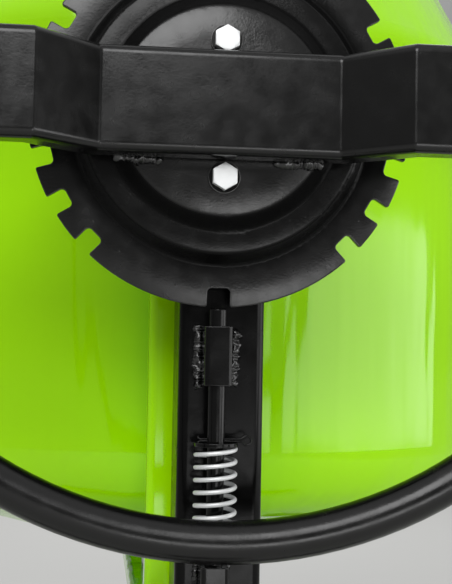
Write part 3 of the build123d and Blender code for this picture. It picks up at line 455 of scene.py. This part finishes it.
def weld_tree():
    """A run of weld: overlapping scales set along a line, uneven as a hand lays them."""
    tree, given = geometry_tree("weld_run", {"Pitch": "Float", "Width": "Float", "Rise": "Float",
                                             "Seed": "Int", "Material": "Material"})
    line = add(tree, "GeometryNodeMeshToCurve", {"Mesh": given["Geometry"]})
    steps = add(tree, "GeometryNodeResampleCurve", {"Curve": line.outputs[0], "Length": given["Pitch"]},
                mode="LENGTH")
    aim = add(tree, "GeometryNodeInputNamedAttribute", {"Name": "aim"}, data_type="FLOAT_VECTOR")
    along = add(tree, "GeometryNodeInputTangent")
    level = add(tree, "FunctionNodeAlignRotationToVector", {"Vector": along.outputs[0]}, axis="X")
    facing = add(tree, "FunctionNodeAlignRotationToVector",
                 {"Rotation": level.outputs[0], "Vector": aim.outputs[0]}, axis="Z", pivot_axis="X")
    lean = random_vector(tree, least=(-0.15, 0.2, -0.25), most=(0.15, 0.5, 0.25), seed=given["Seed"])
    tilt = turned_by(tree, facing.outputs[0], lean)
    uneven = random_vector(tree, least=(1.5, 0.75, 0.7), most=(2.6, 1.2, 1.15), seed=given["Seed"])
    size = add(tree, "ShaderNodeCombineXYZ", {"X": given["Pitch"], "Y": given["Width"], "Z": given["Rise"]})
    scale = add(tree, "ShaderNodeVectorMath", {0: size.outputs[0], 1: uneven}, operation="MULTIPLY")
    blob = add(tree, "GeometryNodeMeshUVSphere", {"Segments": 12, "Rings": 7, "Radius": 0.5})
    round_blob = add(tree, "GeometryNodeSetShadeSmooth", {"Geometry": blob.outputs[0]})
    scales = add(tree, "GeometryNodeInstanceOnPoints",
                 {"Points": steps.outputs[0], "Instance": round_blob.outputs[0], "Rotation": tilt,
                  "Scale": scale.outputs[0]})
    laid = add(tree, "GeometryNodeRealizeInstances", {"Geometry": scales.outputs[0]})
    spot = add(tree, "GeometryNodeInputPosition")
    lumps = add(tree, "ShaderNodeTexNoise", {"Vector": spot.outputs[0], "Scale": 1 / (4 * MM), "Detail": 1.0})
    off = add(tree, "ShaderNodeVectorMath", {0: lumps.outputs["Color"], 1: (0.5, 0.5, 0.5)},
              operation="SUBTRACT")
    far = add(tree, "ShaderNodeVectorMath", {0: off.outputs[0], "Scale": given["Rise"]}, operation="SCALE")
    rugged = add(tree, "GeometryNodeSetPosition", {"Geometry": laid.outputs[0], "Offset": far.outputs[0]})
    end_tree(tree, rugged.outputs[0], given["Material"])
    return tree


def row_tree():
    """One part set at each point, facing the way the point says and turned by its angle."""
    tree, given = geometry_tree("row_of_parts", {"Part": "Object", "Size": "Float", "Material": "Material"})
    aim = add(tree, "GeometryNodeInputNamedAttribute", {"Name": "aim"}, data_type="FLOAT_VECTOR")
    angle = add(tree, "GeometryNodeInputNamedAttribute", {"Name": "turn"}, data_type="FLOAT")
    facing = add(tree, "FunctionNodeAlignRotationToVector", {"Vector": aim.outputs[0]}, axis="Z")
    about = add(tree, "FunctionNodeAxisAngleToRotation", {"Axis": (0, 0, 1), "Angle": angle.outputs[0]})
    part = add(tree, "GeometryNodeObjectInfo", {"Object": given["Part"]})
    parts = add(tree, "GeometryNodeInstanceOnPoints",
                {"Points": given["Geometry"], "Instance": part.outputs["Geometry"],
                 "Rotation": turned_by(tree, facing.outputs[0], about.outputs[0]), "Scale": given["Size"]})
    end_tree(tree, parts.outputs[0], given["Material"])
    return tree


def grown(name, tree, places, inputs):
    """Runs a tree on a mesh of points or lines and returns the result as a plain mesh.
    Each place is (points, aim, turn); points of one place are joined in a line."""
    mesh = bpy.data.meshes.new(name)
    points, edges, aims, turns = [], [], [], []
    for line, aim, turn in places:
        edges += [(len(points) + i, len(points) + i + 1) for i in range(len(line) - 1)]
        points += line
        aims += list(Vector(aim).normalized()) * len(line)
        turns += [turn] * len(line)
    mesh.from_pydata(points, edges, [])
    mesh.attributes.new("aim", "FLOAT_VECTOR", "POINT").data.foreach_set("vector", aims)
    mesh.attributes.new("turn", "FLOAT", "POINT").data.foreach_set("value", turns)
    host = in_scene(name, mesh)
    modifier = host.modifiers.new("grow", "NODES")
    modifier.node_group = tree
    for item in tree.interface.items_tree:
        if item.in_out == "INPUT" and item.name in inputs:
            modifier[item.identifier] = inputs[item.name]
    bpy.context.view_layer.update()
    result = as_mesh(host)
    host.modifiers.clear()
    bpy.data.objects.remove(host)
    return result


weld_run = weld_tree()
row_of_parts = row_tree()


def weld(name, lines, width, body, pitch=2.6, rise=None, seed=3, painted=None):
    """Lays a run of weld along each (line, aim), its sizes in millimetres; painted names another slot."""
    inputs = {"Pitch": pitch * MM, "Width": width * MM, "Rise": (rise or width * 0.62) * MM, "Seed": seed,
              "Material": weld_powder}
    mesh = grown(name, weld_run, [(line, aim, 0.0) for line, aim in lines], inputs)
    if painted:
        piece(name, mesh, painted, body)
    else:
        piece(name, mesh, "black_powder_coat", body, material=weld_powder)


def copies(name, part_mesh, places, finish_slot):
    """One mesh with a copy of a part at each (spot, aim, turn)."""
    part = bpy.data.objects.new(name + "_part", part_mesh)
    inputs = {"Part": part, "Size": 1.0, "Material": finishes[finish_slot]}
    mesh = grown(name, row_of_parts, [([spot], aim, turn) for spot, aim, turn in places], inputs)
    bpy.data.objects.remove(part)
    return mesh


def row(name, part_mesh, places, finish_slot, body, replaces=()):
    """Shows copies of a part as one piece."""
    piece(name, copies(name, part_mesh, places, finish_slot), finish_slot, body, replaces)


# ---- The notched plate ----
def rolled(radius, start, edge, foot, fall):
    """How far back a flat lies at a radius: it bends off from its start to its edge, and the wall below takes
    that up by its foot."""
    if radius <= edge:
        return fall * (max(radius - start, 0) / (edge - start)) ** 2
    return fall * max(foot - radius, 0) / (foot - edge)


def pressed_plate():
    """The plate as it leaves the press, its flats rolled off towards each step and the rim. The frame's plate is
    cut into a fine grid, and its points are shifted along the axis."""
    grid = 3.0 * MM
    shape = bmesh.new()
    shape.from_mesh(nodes["index_plate"].data)
    bmesh.ops.remove_doubles(shape, verts=shape.verts, dist=1e-6)
    for axis, start, end in ((Vector((1, 0, 0)), plate_low.x, plate_high.x),
                             (Vector((0, 0, 1)), plate_low.z, plate_high.z)):
        count = round((end - start) / grid)
        for i in range(1, count):
            everything = shape.verts[:] + shape.edges[:] + shape.faces[:]
            cut = axis * (start + (end - start) * i / count)
            bmesh.ops.bisect_plane(shape, geom=everything, dist=1e-7, plane_co=cut, plane_no=axis)
    # in millimetres: where a flat starts to bend, its edge, the foot of its wall, how far back the edge lies
    shoulders = [(50.0, 72.0, 81.5, 2.6), (86.0, 96.5, 103.5, 1.0), (114.0, 132.5, 200.0, 2.0)]
    for point in shape.verts:
        radius = math.hypot(point.co.x, point.co.z - axle_z)
        point.co.y += sum(rolled(radius, *(size * MM for size in shoulder)) for shoulder in shoulders)
    mesh = bpy.data.meshes.new("pressed_plate")
    shape.to_mesh(mesh)
    shape.free()
    if "custom_normal" in mesh.attributes:
        mesh.attributes.remove(mesh.attributes["custom_normal"])
    tidy_faces(mesh, 30)
    piece("pressed_plate", mesh, "black_powder_coat", "yoke", ["index_plate"], plate_powder)


# ---- The rod's guides ----
def guide_block(foot, top):
    """A block bored for the rod: its front corners are drawn round, and its back stands on the post."""
    front, half = guide_low.y, guide_half
    corner, chamfer, bore = 3.4 * MM, 0.5 * MM, 6.3 * MM
    steps = 10
    quarter = [math.pi / 2 * i / steps for i in range(steps + 1)]
    outline = [(-half, post_face + (front + corner - post_face) * i / steps) for i in range(steps)]
    outline += [(-(half - corner) + corner * math.cos(math.pi + a),
                 front + corner + corner * math.sin(math.pi + a)) for a in quarter]
    outline += [((half - corner) * (2 * i / steps - 1), front) for i in range(1, steps)]
    outline += [((half - corner) + corner * math.cos(1.5 * math.pi + a),
                 front + corner + corner * math.sin(1.5 * math.pi + a)) for a in quarter]
    outline += [(half, front + corner + (post_face - front - corner) * i / steps) for i in range(1, steps + 1)]
    outline += [(half * (1 - 2 * i / steps), post_face) for i in range(1, steps)]
    middle = (front + post_face) / 2
    depth = (post_face - front) / 2

    def outer(z, inset=0.0):
        """The outline at a height, drawn in on all sides."""
        return [(x * (1 - inset / half), middle + (y - middle) * (1 - inset / depth), z) for x, y in outline]

    def inner(z):
        """The bore at a height, its points abreast of the outline's."""
        around = [math.atan2(y - rod_y, x) for x, y in outline]
        return [(bore * math.cos(a), rod_y + bore * math.sin(a), z) for a in around]

    return loft("guide_block", [inner(foot), outer(foot, chamfer), outer(foot + chamfer), outer(top - chamfer),
                                outer(top, chamfer), inner(top)], loop=True)


def rod_guides():
    """The upper and the lower guide, on the front post."""
    blocks = [guide_block(upper_guide_foot, guide_high.z), guide_block(guide_low.z, lower_guide_top)]
    piece("rod_guide_blocks", joined("rod_guide_blocks", blocks), "black_powder_coat", "stand", ["rod_guides"],
          guide_powder)


# ---- Welds ----
def round_lines(corners, aims):
    """A line from each corner to the next and back to the first, each with the way its weld faces."""
    return [([start, end], aim) for start, end, aim in zip(corners, corners[1:] + corners[:1], aims)]


def across_lines(low, high, z, tip):
    """Two lines across the front and the back of a tube, where it meets another above or below."""
    return [([(low.x, y, z), (high.x, y, z)], (0, side, tip)) for y, side in ((low.y, -1), (high.y, 1))]


def guide_welds():
    """The welds beside the upper guide, laid by hand and not quite alike."""
    # side, out at the foot and at the top, in from the foot and from the top, then width, pitch, rise and seed
    for name, side, foot_out, top_out, up, down, width, pitch, rise, seed in (
            ("guide_weld_left", -1, 2.5, 3.0, -1.0, 0.0, 7.0, 2.4, 5.0, 5),
            ("guide_weld_right", 1, 3.5, 5.5, 1.0, 4.0, 9.5, 3.0, 5.5, 8)):
        line = [(side * (guide_half + foot_out * MM), post_face, upper_guide_foot + up * MM),
                (side * (guide_half + top_out * MM), post_face, guide_high.z - down * MM)]
        weld(name, [(line, (0.6 * side, -1, 0))], width, "stand", pitch, rise, seed)


def stand_welds():
    """The lower guide's welds and those at the ends of the posts and of the beam between them."""
    out = guide_half + 1.5 * MM
    lines = [([(side * out, post_face, guide_low.z), (side * out, post_face, lower_guide_top)], (side, -1, 0))
             for side in (-1, 1)]
    foot = post_low.z
    lines += round_lines([(post_low.x, post_low.y, foot), (post_high.x, post_low.y, foot),
                          (post_high.x, post_high.y, foot), (post_low.x, post_high.y, foot)],
                         [(0, -1, 1), (1, 0, 1), (0, 1, 1), (-1, 0, 1)])
    lines += across_lines(post_low, post_high, post_high.z, -1)
    lines += across_lines(rear_low, rear_high, rear_high.z, -1)
    lines += across_lines(rear_low, rear_high, rear_low.z, 1)
    beam_low, beam_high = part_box("base_beam")
    for y, side in ((beam_low.y, 1), (beam_high.y, -1)):
        lines += round_lines([(beam_low.x, y, beam_low.z), (beam_high.x, y, beam_low.z),
                              (beam_high.x, y, beam_high.z), (beam_low.x, y, beam_high.z)],
                             [(0, side, -1), (1, side, 0), (0, side, 1), (-1, side, 0)])
    weld("stand_welds", lines, width=5.0, body="stand", pitch=3.0)


def yoke_welds():
    """Short runs that hold the spoke to the plate, and the spoke's ends to the rim."""
    lap = 0.5 * MM
    bottom, top, y = spoke_low.z - lap, spoke_high.z + lap, plateau_y - lap
    sag = 1 * MM
    below = [([(-71 * MM, y, bottom), (-44 * MM, y, bottom - sag)], (0, -1, -0.7)),
             ([(36 * MM, y, bottom - sag), (64 * MM, y, bottom)], (0, -1, -0.7))]
    weld("spoke_weld_below", below, width=7.0, body="yoke", pitch=3.0, rise=4.5, seed=4)
    above = [([(side * 71 * MM, y, top), (side * 38 * MM, y, top)], (0, -1, 0.7)) for side in (-1, 1)]
    weld("spoke_weld_above", above, width=6.5, body="yoke", pitch=3.0, rise=4.5, seed=6)
    wheel_low, wheel_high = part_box("handwheel_rim")
    tube = wheel_high.y - wheel_low.y
    rim_y = (wheel_high.y + wheel_low.y) / 2
    reach = wheel_high.x - tube
    ends = (spoke_low.z + 5 * MM, spoke_high.z - 5 * MM)
    lines = [([(side * reach, rim_y + face * tube * 0.47, z) for z in ends], (-side, face, 0))
             for side in (-1, 1) for face in (-1, 1)]
    weld("handwheel_welds", lines, width=5.0, body="yoke", pitch=3.0)


def drum_seam_weld():
    """The lengthwise weld that closes the lower drum, painted over."""
    a = math.radians(118)
    out = Vector((math.cos(a), math.sin(a), 0))
    foot = Vector((0, drum_y, axle_z)) + out * (drum_radius - 0.3 * MM)
    line = [foot + Vector((0, 0, z * MM)) for z in (-270, -20)]
    weld("drum_seam_weld", [(line, out)], width=5.0, body="drum", rise=1.6, seed=11, painted="green_paint")


# ---- Fasteners ----
def plate_bolts():
    """The two M10 bolts that hold the plate, above and below the spoke."""
    low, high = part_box("plate_bolts")
    washer_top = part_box("plate_washers")[0].y
    bolt = hex_head(across=16 * MM, height=washer_top - low.y, shank=5 * MM, length=high.y - washer_top)
    corner = 9.24 * MM
    spots = [((0, washer_top, z), (0, -1, 0), 0.0) for z in (low.z + corner, high.z - corner)]
    row("plate_hex_bolts", bolt, spots, "zinc", "yoke", ["plate_bolts"])


def ring_of_bolts():
    """The M8 bolts, washers and nuts that join the drum's two shells."""
    count, first = 12, math.radians(15)
    across, shank = 13 * MM, 4 * MM
    skirt = drum_radius + 3.5 * MM      # outside of the upper shell's skirt
    inside = drum_radius - 3.1 * MM     # inside of the lower shell
    bolt = hex_head(across, height=5.5 * MM, shank=shank, length=13.5 * MM)
    washer = turned("washer", in_mm((8.8, 0), (8.8, 1.2), (4, 1.2), (4, 0)), loop=True)
    nut = hex_nut(across, height=6.5 * MM, bore=shank)
    centre = Vector((0, drum_y, (seam_low.z + seam_high.z) / 2))
    heads, nuts = [], []
    for i in range(count):    # each stands at a turn of its own
        a = first + 2 * math.pi * i / count
        out = Vector((math.cos(a), math.sin(a), 0))
        heads.append((centre + out * skirt, out, 0.35 * i))
        nuts.append((centre + out * inside, -out, 0.2 * i))
    row("drum_seam_bolt_heads", bolt, heads, "zinc", "drum", ["drum_seam_bolts"])
    row("drum_seam_washers", washer, heads, "zinc", "drum")
    row("drum_seam_nuts", nut, nuts, "zinc", "drum")


def cover_screws():
    """Flanged screws up both sides of the motor's cover."""
    low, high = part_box("motor_cover")
    flange = turned("flange", in_mm((0, 0), (5.8, 0), (5.8, 0.8), (4.6, 1.4), (0, 1.4)))
    head = hex_head(across=8 * MM, height=3.8 * MM, shank=2.2 * MM, length=4 * MM)
    screw = joined("flanged_screw", [flange, moved(head, (0, 0, 1 * MM))])
    edge, inset = low.y + 14 * MM, 45 * MM
    spots = [((x, edge, z), (side, 0, 0), 0.2) for x, side in ((low.x, -1), (high.x, 1))
             for z in (low.z + inset, (low.z + high.z) / 2, high.z - inset)]
    row("cover_screws", screw, spots, "zinc", "stand")


def switch_trim():
    """The switch box's four screws and the collars round its buttons."""
    low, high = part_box("switch_box")
    stud = turned("switch_screw", in_mm((0, 0), (3.4, 0), (3.4, 1.2), (2.6, 1.8), (1.7, 1.8), (1.5, 0.9),
                                        (0, 0.9)), 24)
    inset = 7 * MM
    spots = [((x, high.y, z), (0, 1, 0), 0.0) for x in (low.x + inset, high.x - inset)
             for z in (low.z + inset, high.z - inset)]
    row("switch_screws", stud, spots, "zinc", "stand")
    collar = turned("button_collar", in_mm((13.7, 0), (17.2, 0), (17.2, 1.2), (16.2, 2.2), (13.7, 2.2)), 48,
                    loop=True)
    buttons = [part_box(name) for name in ("start_button", "stop_button")]
    spots = [((0, high.y, (foot.z + head.z) / 2), (0, 1, 0), 0.0) for foot, head in buttons]
    row("button_collars", collar, spots, "black_plastic", "stand")


def paddle_bolts():
    """Two bolts through the drum's wall to each paddle."""
    bolt = hex_head(across=13 * MM, height=3.6 * MM, shank=4 * MM, length=6 * MM)
    wall = drum_radius - 0.8 * MM
    spots = [((side * wall, drum_y, z), (side, 0, 0), 0.3 * z) for side in (-1, 1)
             for z in (axle_z - 200 * MM, axle_z - 120 * MM)]
    row("paddle_bolts", bolt, spots, "zinc", "drum")


def rod_nut():
    """The lock nut at the foot of the rod."""
    low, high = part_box("rod_nut")
    nut = hex_nut(high.x - low.x, high.z - low.z, bore=6.1 * MM)
    row("rod_lock_nut", nut, [((0, rod_y, low.z), (0, 0, 1), 0.0)], "zinc", "lock_rod", ["rod_nut"])


def grease_nipples():
    """A nipple on top of each bearing housing."""
    low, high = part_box("bearing_housings")
    tip = turned("tip", in_mm((0, 3), (2.4, 3), (2.4, 5.2), (1.7, 6.2), (2.5, 7.4), (2.2, 8.6), (1.2, 9.2),
                              (0, 9.2)), 24)
    nipple = joined("nipple", [hex_head(across=7 * MM, height=4 * MM, shank=2 * MM, length=3 * MM), tip])
    sunk, inset = high.z - 0.2 * MM, 30 * MM
    spots = [((0, y, sunk), (0, 0, 1), 0.0) for y in (low.y + inset, high.y - inset)]
    row("grease_nipples", nipple, spots, "bright_steel", "stand")


def pedal_ribs():
    """Ribs across the pedal's pad."""
    low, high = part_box("pedal_pad")
    half = (high.x - low.x) / 2 - 6 * MM
    rib = tapered("rib", half, 1.6 * MM, ((1.0, -0.5 * MM), (0.99, 0.8 * MM), (0.97, 1.4 * MM)))
    count = 8
    step = (high.y - low.y) / count
    spots = [(((low.x + high.x) / 2, low.y + step * (i + 0.5), high.z), (0, 0, 1), 0.0) for i in range(count)]
    row("pedal_ribs", rib, spots, "rubber", "pedal")


def split_pin():
    """A bent-open split pin: one wire with an eye, its two legs side by side through the rod."""
    low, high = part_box("rod_split_pin")
    z = (low.z + high.z) / 2
    eye, wire = 3.2 * MM, 0.7 * MM
    centre = high.x - eye - wire
    neck = centre - 1.5 * eye
    tip = low.x - 1 * MM
    bend, straight = tip + 1 * MM, tip + 4 * MM
    points = [(tip, rod_y, z - 3.5 * MM), (bend, rod_y, z - wire), (straight, rod_y, z - wire),
              (neck, rod_y, z - wire)]
    points += [(centre + eye * math.cos(math.radians(a)), rod_y, z + eye * math.sin(math.radians(a)))
               for a in range(-150, 151, 30)]
    points += [(neck, rod_y, z + wire), (straight, rod_y, z + wire), (bend, rod_y, z + wire),
               (bend, rod_y + 1 * MM, z + 2.5 * MM)]
    curve = bpy.data.curves.new("split_pin", "CURVE")
    curve.dimensions = "3D"
    curve.bevel_depth = wire
    curve.bevel_resolution = 3
    curve.use_fill_caps = True
    spline = curve.splines.new("NURBS")
    spline.points.add(len(points) - 1)
    for point, spot in zip(spline.points, points):
        point.co = (*spot, 1)
    spline.order_u = 3
    spline.use_endpoint_u = True
    host = in_scene("split_pin_wire", curve)
    mesh = as_mesh(host)
    bpy.data.objects.remove(host)
    tidy_faces(mesh, 60)
    piece("split_pin", mesh, "black_powder_coat", "lock_rod", ["rod_split_pin"], rod_black)


# ---- Tyres ----
def tyre(side):
    """A solid tyre with two lanes of staggered lugs."""
    low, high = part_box(side + "_tyre")
    middle = (low + high) / 2
    outer = (high.z - low.z) / 2
    half = (high.x - low.x) / 2
    inner = outer - 35 * MM
    base = outer - 3.8 * MM     # what the lugs stand on
    near = [(inner, 0.8), (inner + 4 * MM, 0.96), (inner + 12 * MM, 1.0), (base - 12 * MM, 1.0),
            (base - 5 * MM, 0.95), (base - 1 * MM, 0.82), (base, 0.55)]
    profile = [(r, -half * share) for r, share in near] + [(r, half * share) for r, share in reversed(near)]
    lie = Matrix.Rotation(math.pi / 2, 4, "Y")
    body = moved(turned("tyre", profile, 72, loop=True), middle, lie)
    lug = tapered("lug", 4.5 * MM, 11 * MM, ((1.12, -2 * MM), (1.05, 2.5 * MM), (0.9, 3.4 * MM)))
    count, stagger, lane_place, skew = 34, 0.25, 0.42 * half, 0.45
    places = []
    for i in range(count):
        for lane in (-1, 1):
            a = 2 * math.pi * (i + stagger * lane) / count
            out = Vector((0, math.cos(a), math.sin(a)))
            places.append((middle + Vector((lane * lane_place, 0, 0)) + out * base, out, skew * lane))
    tread = copies(side + "_tread", lug, places, "tyre")
    piece(side + "_tyre_body", joined(side + "_tyre_body", [body, tread]), "tyre", side + "_wheel",
          [side + "_tyre"])


# ---- Ground, light and camera ----
def ground():
    """A plain pale floor that reaches past every view."""
    size = 30.0
    mesh = bpy.data.meshes.new("floor")
    mesh.from_pydata([(-size, -size, 0), (size, -size, 0), (size, size, 0), (-size, size, 0)], [],
                     [(0, 1, 2, 3)])
    mesh.materials.append(finish("pale_matt_floor", "#bfbfbd", roughness=0.7)[0])
    floor = in_scene("floor", mesh)


def studio():
    """Grey air near the ground and paler overhead."""
    world = bpy.data.worlds.new("studio")
    bpy.context.scene.world = world
    world.use_nodes = True
    tree = world.node_tree
    tree.nodes.clear()
    aloft = add(tree, "ShaderNodeSeparateXYZ", {0: add(tree, "ShaderNodeTexCoord").outputs["Object"]})
    rise = ranged(tree, aloft.outputs["Z"], start=0.04, end=0.9, interpolation_type="SMOOTHSTEP")
    dome = tint(tree, rise, "#858584", "#e4e4e4")
    air = add(tree, "ShaderNodeBackground", {"Color": dome, "Strength": 1.0})
    add(tree, "ShaderNodeOutputWorld", {"Surface": air.outputs[0]})
    bpy.context.scene.view_settings.view_transform = "Standard"


def lamps():
    """Softboxes: each has its place, what it points at, its width, height and watts."""
    for name, spot, target, width, height, watts in (
            ("front_softbox", (-0.8, -3.2, 2.5), (0, -0.2, 0.55), 2.6, 1.6, 84.0),
            ("right_softbox", (2.1, -1.2, 0.68), (0, -0.3, 0.6), 3.0, 0.64, 20.0),
            ("low_strip", (0.45, -2.3, 0.22), (0, -0.5, 0.5), 0.9, 0.35, 4.5),
            ("rear_fill", (0.4, 3.6, 2.4), (0, 0.1, 0.7), 2.4, 2.4, 40.0)):
        lamp = bpy.data.lights.new(name, "AREA")
        lamp.shape = "RECTANGLE"
        lamp.size = width
        lamp.size_y = height
        lamp.energy = watts
        held = in_scene(name, lamp)
        held.location = spot
        held.rotation_euler = (Vector(target) - Vector(spot)).to_track_quat("-Z", "Y").to_euler()
        held.visible_camera = False


def camera():
    """Stands low and a little to the left, close to the tilt lock, looking slightly up and to the right."""
    lens = bpy.data.cameras.new("camera")
    lens.lens = 71.1
    lens.sensor_width = 36.0
    seat = in_scene("camera", lens)
    place = (-0.085, drum_y - 1.25014, 0.64)
    yaw, pitch, roll = math.radians(6.56), math.radians(2.77), math.radians(1.03)
    ahead = Vector((math.sin(yaw) * math.cos(pitch), math.cos(yaw) * math.cos(pitch), math.sin(pitch)))
    level = Vector((math.cos(yaw), -math.sin(yaw), 0))
    rise = level.cross(ahead)
    right = math.cos(roll) * level + math.sin(roll) * rise
    up = math.cos(roll) * rise - math.sin(roll) * level
    turn = Matrix((right, up, -ahead)).transposed().to_4x4()
    seat.matrix_world = Matrix.Translation(place) @ turn
    bpy.context.scene.camera = seat


for make in (pressed_plate, rod_guides, guide_welds, stand_welds, yoke_welds, plate_bolts, ring_of_bolts,
             cover_screws, switch_trim, paddle_bolts, rod_nut, grease_nipples, pedal_ribs, drum_seam_weld,
             split_pin):
    make()
for wheel in ("left", "right"):
    tyre(wheel)
for set_up in (ground, studio, lamps, camera):
    set_up()
bpy.context.view_layer.update()
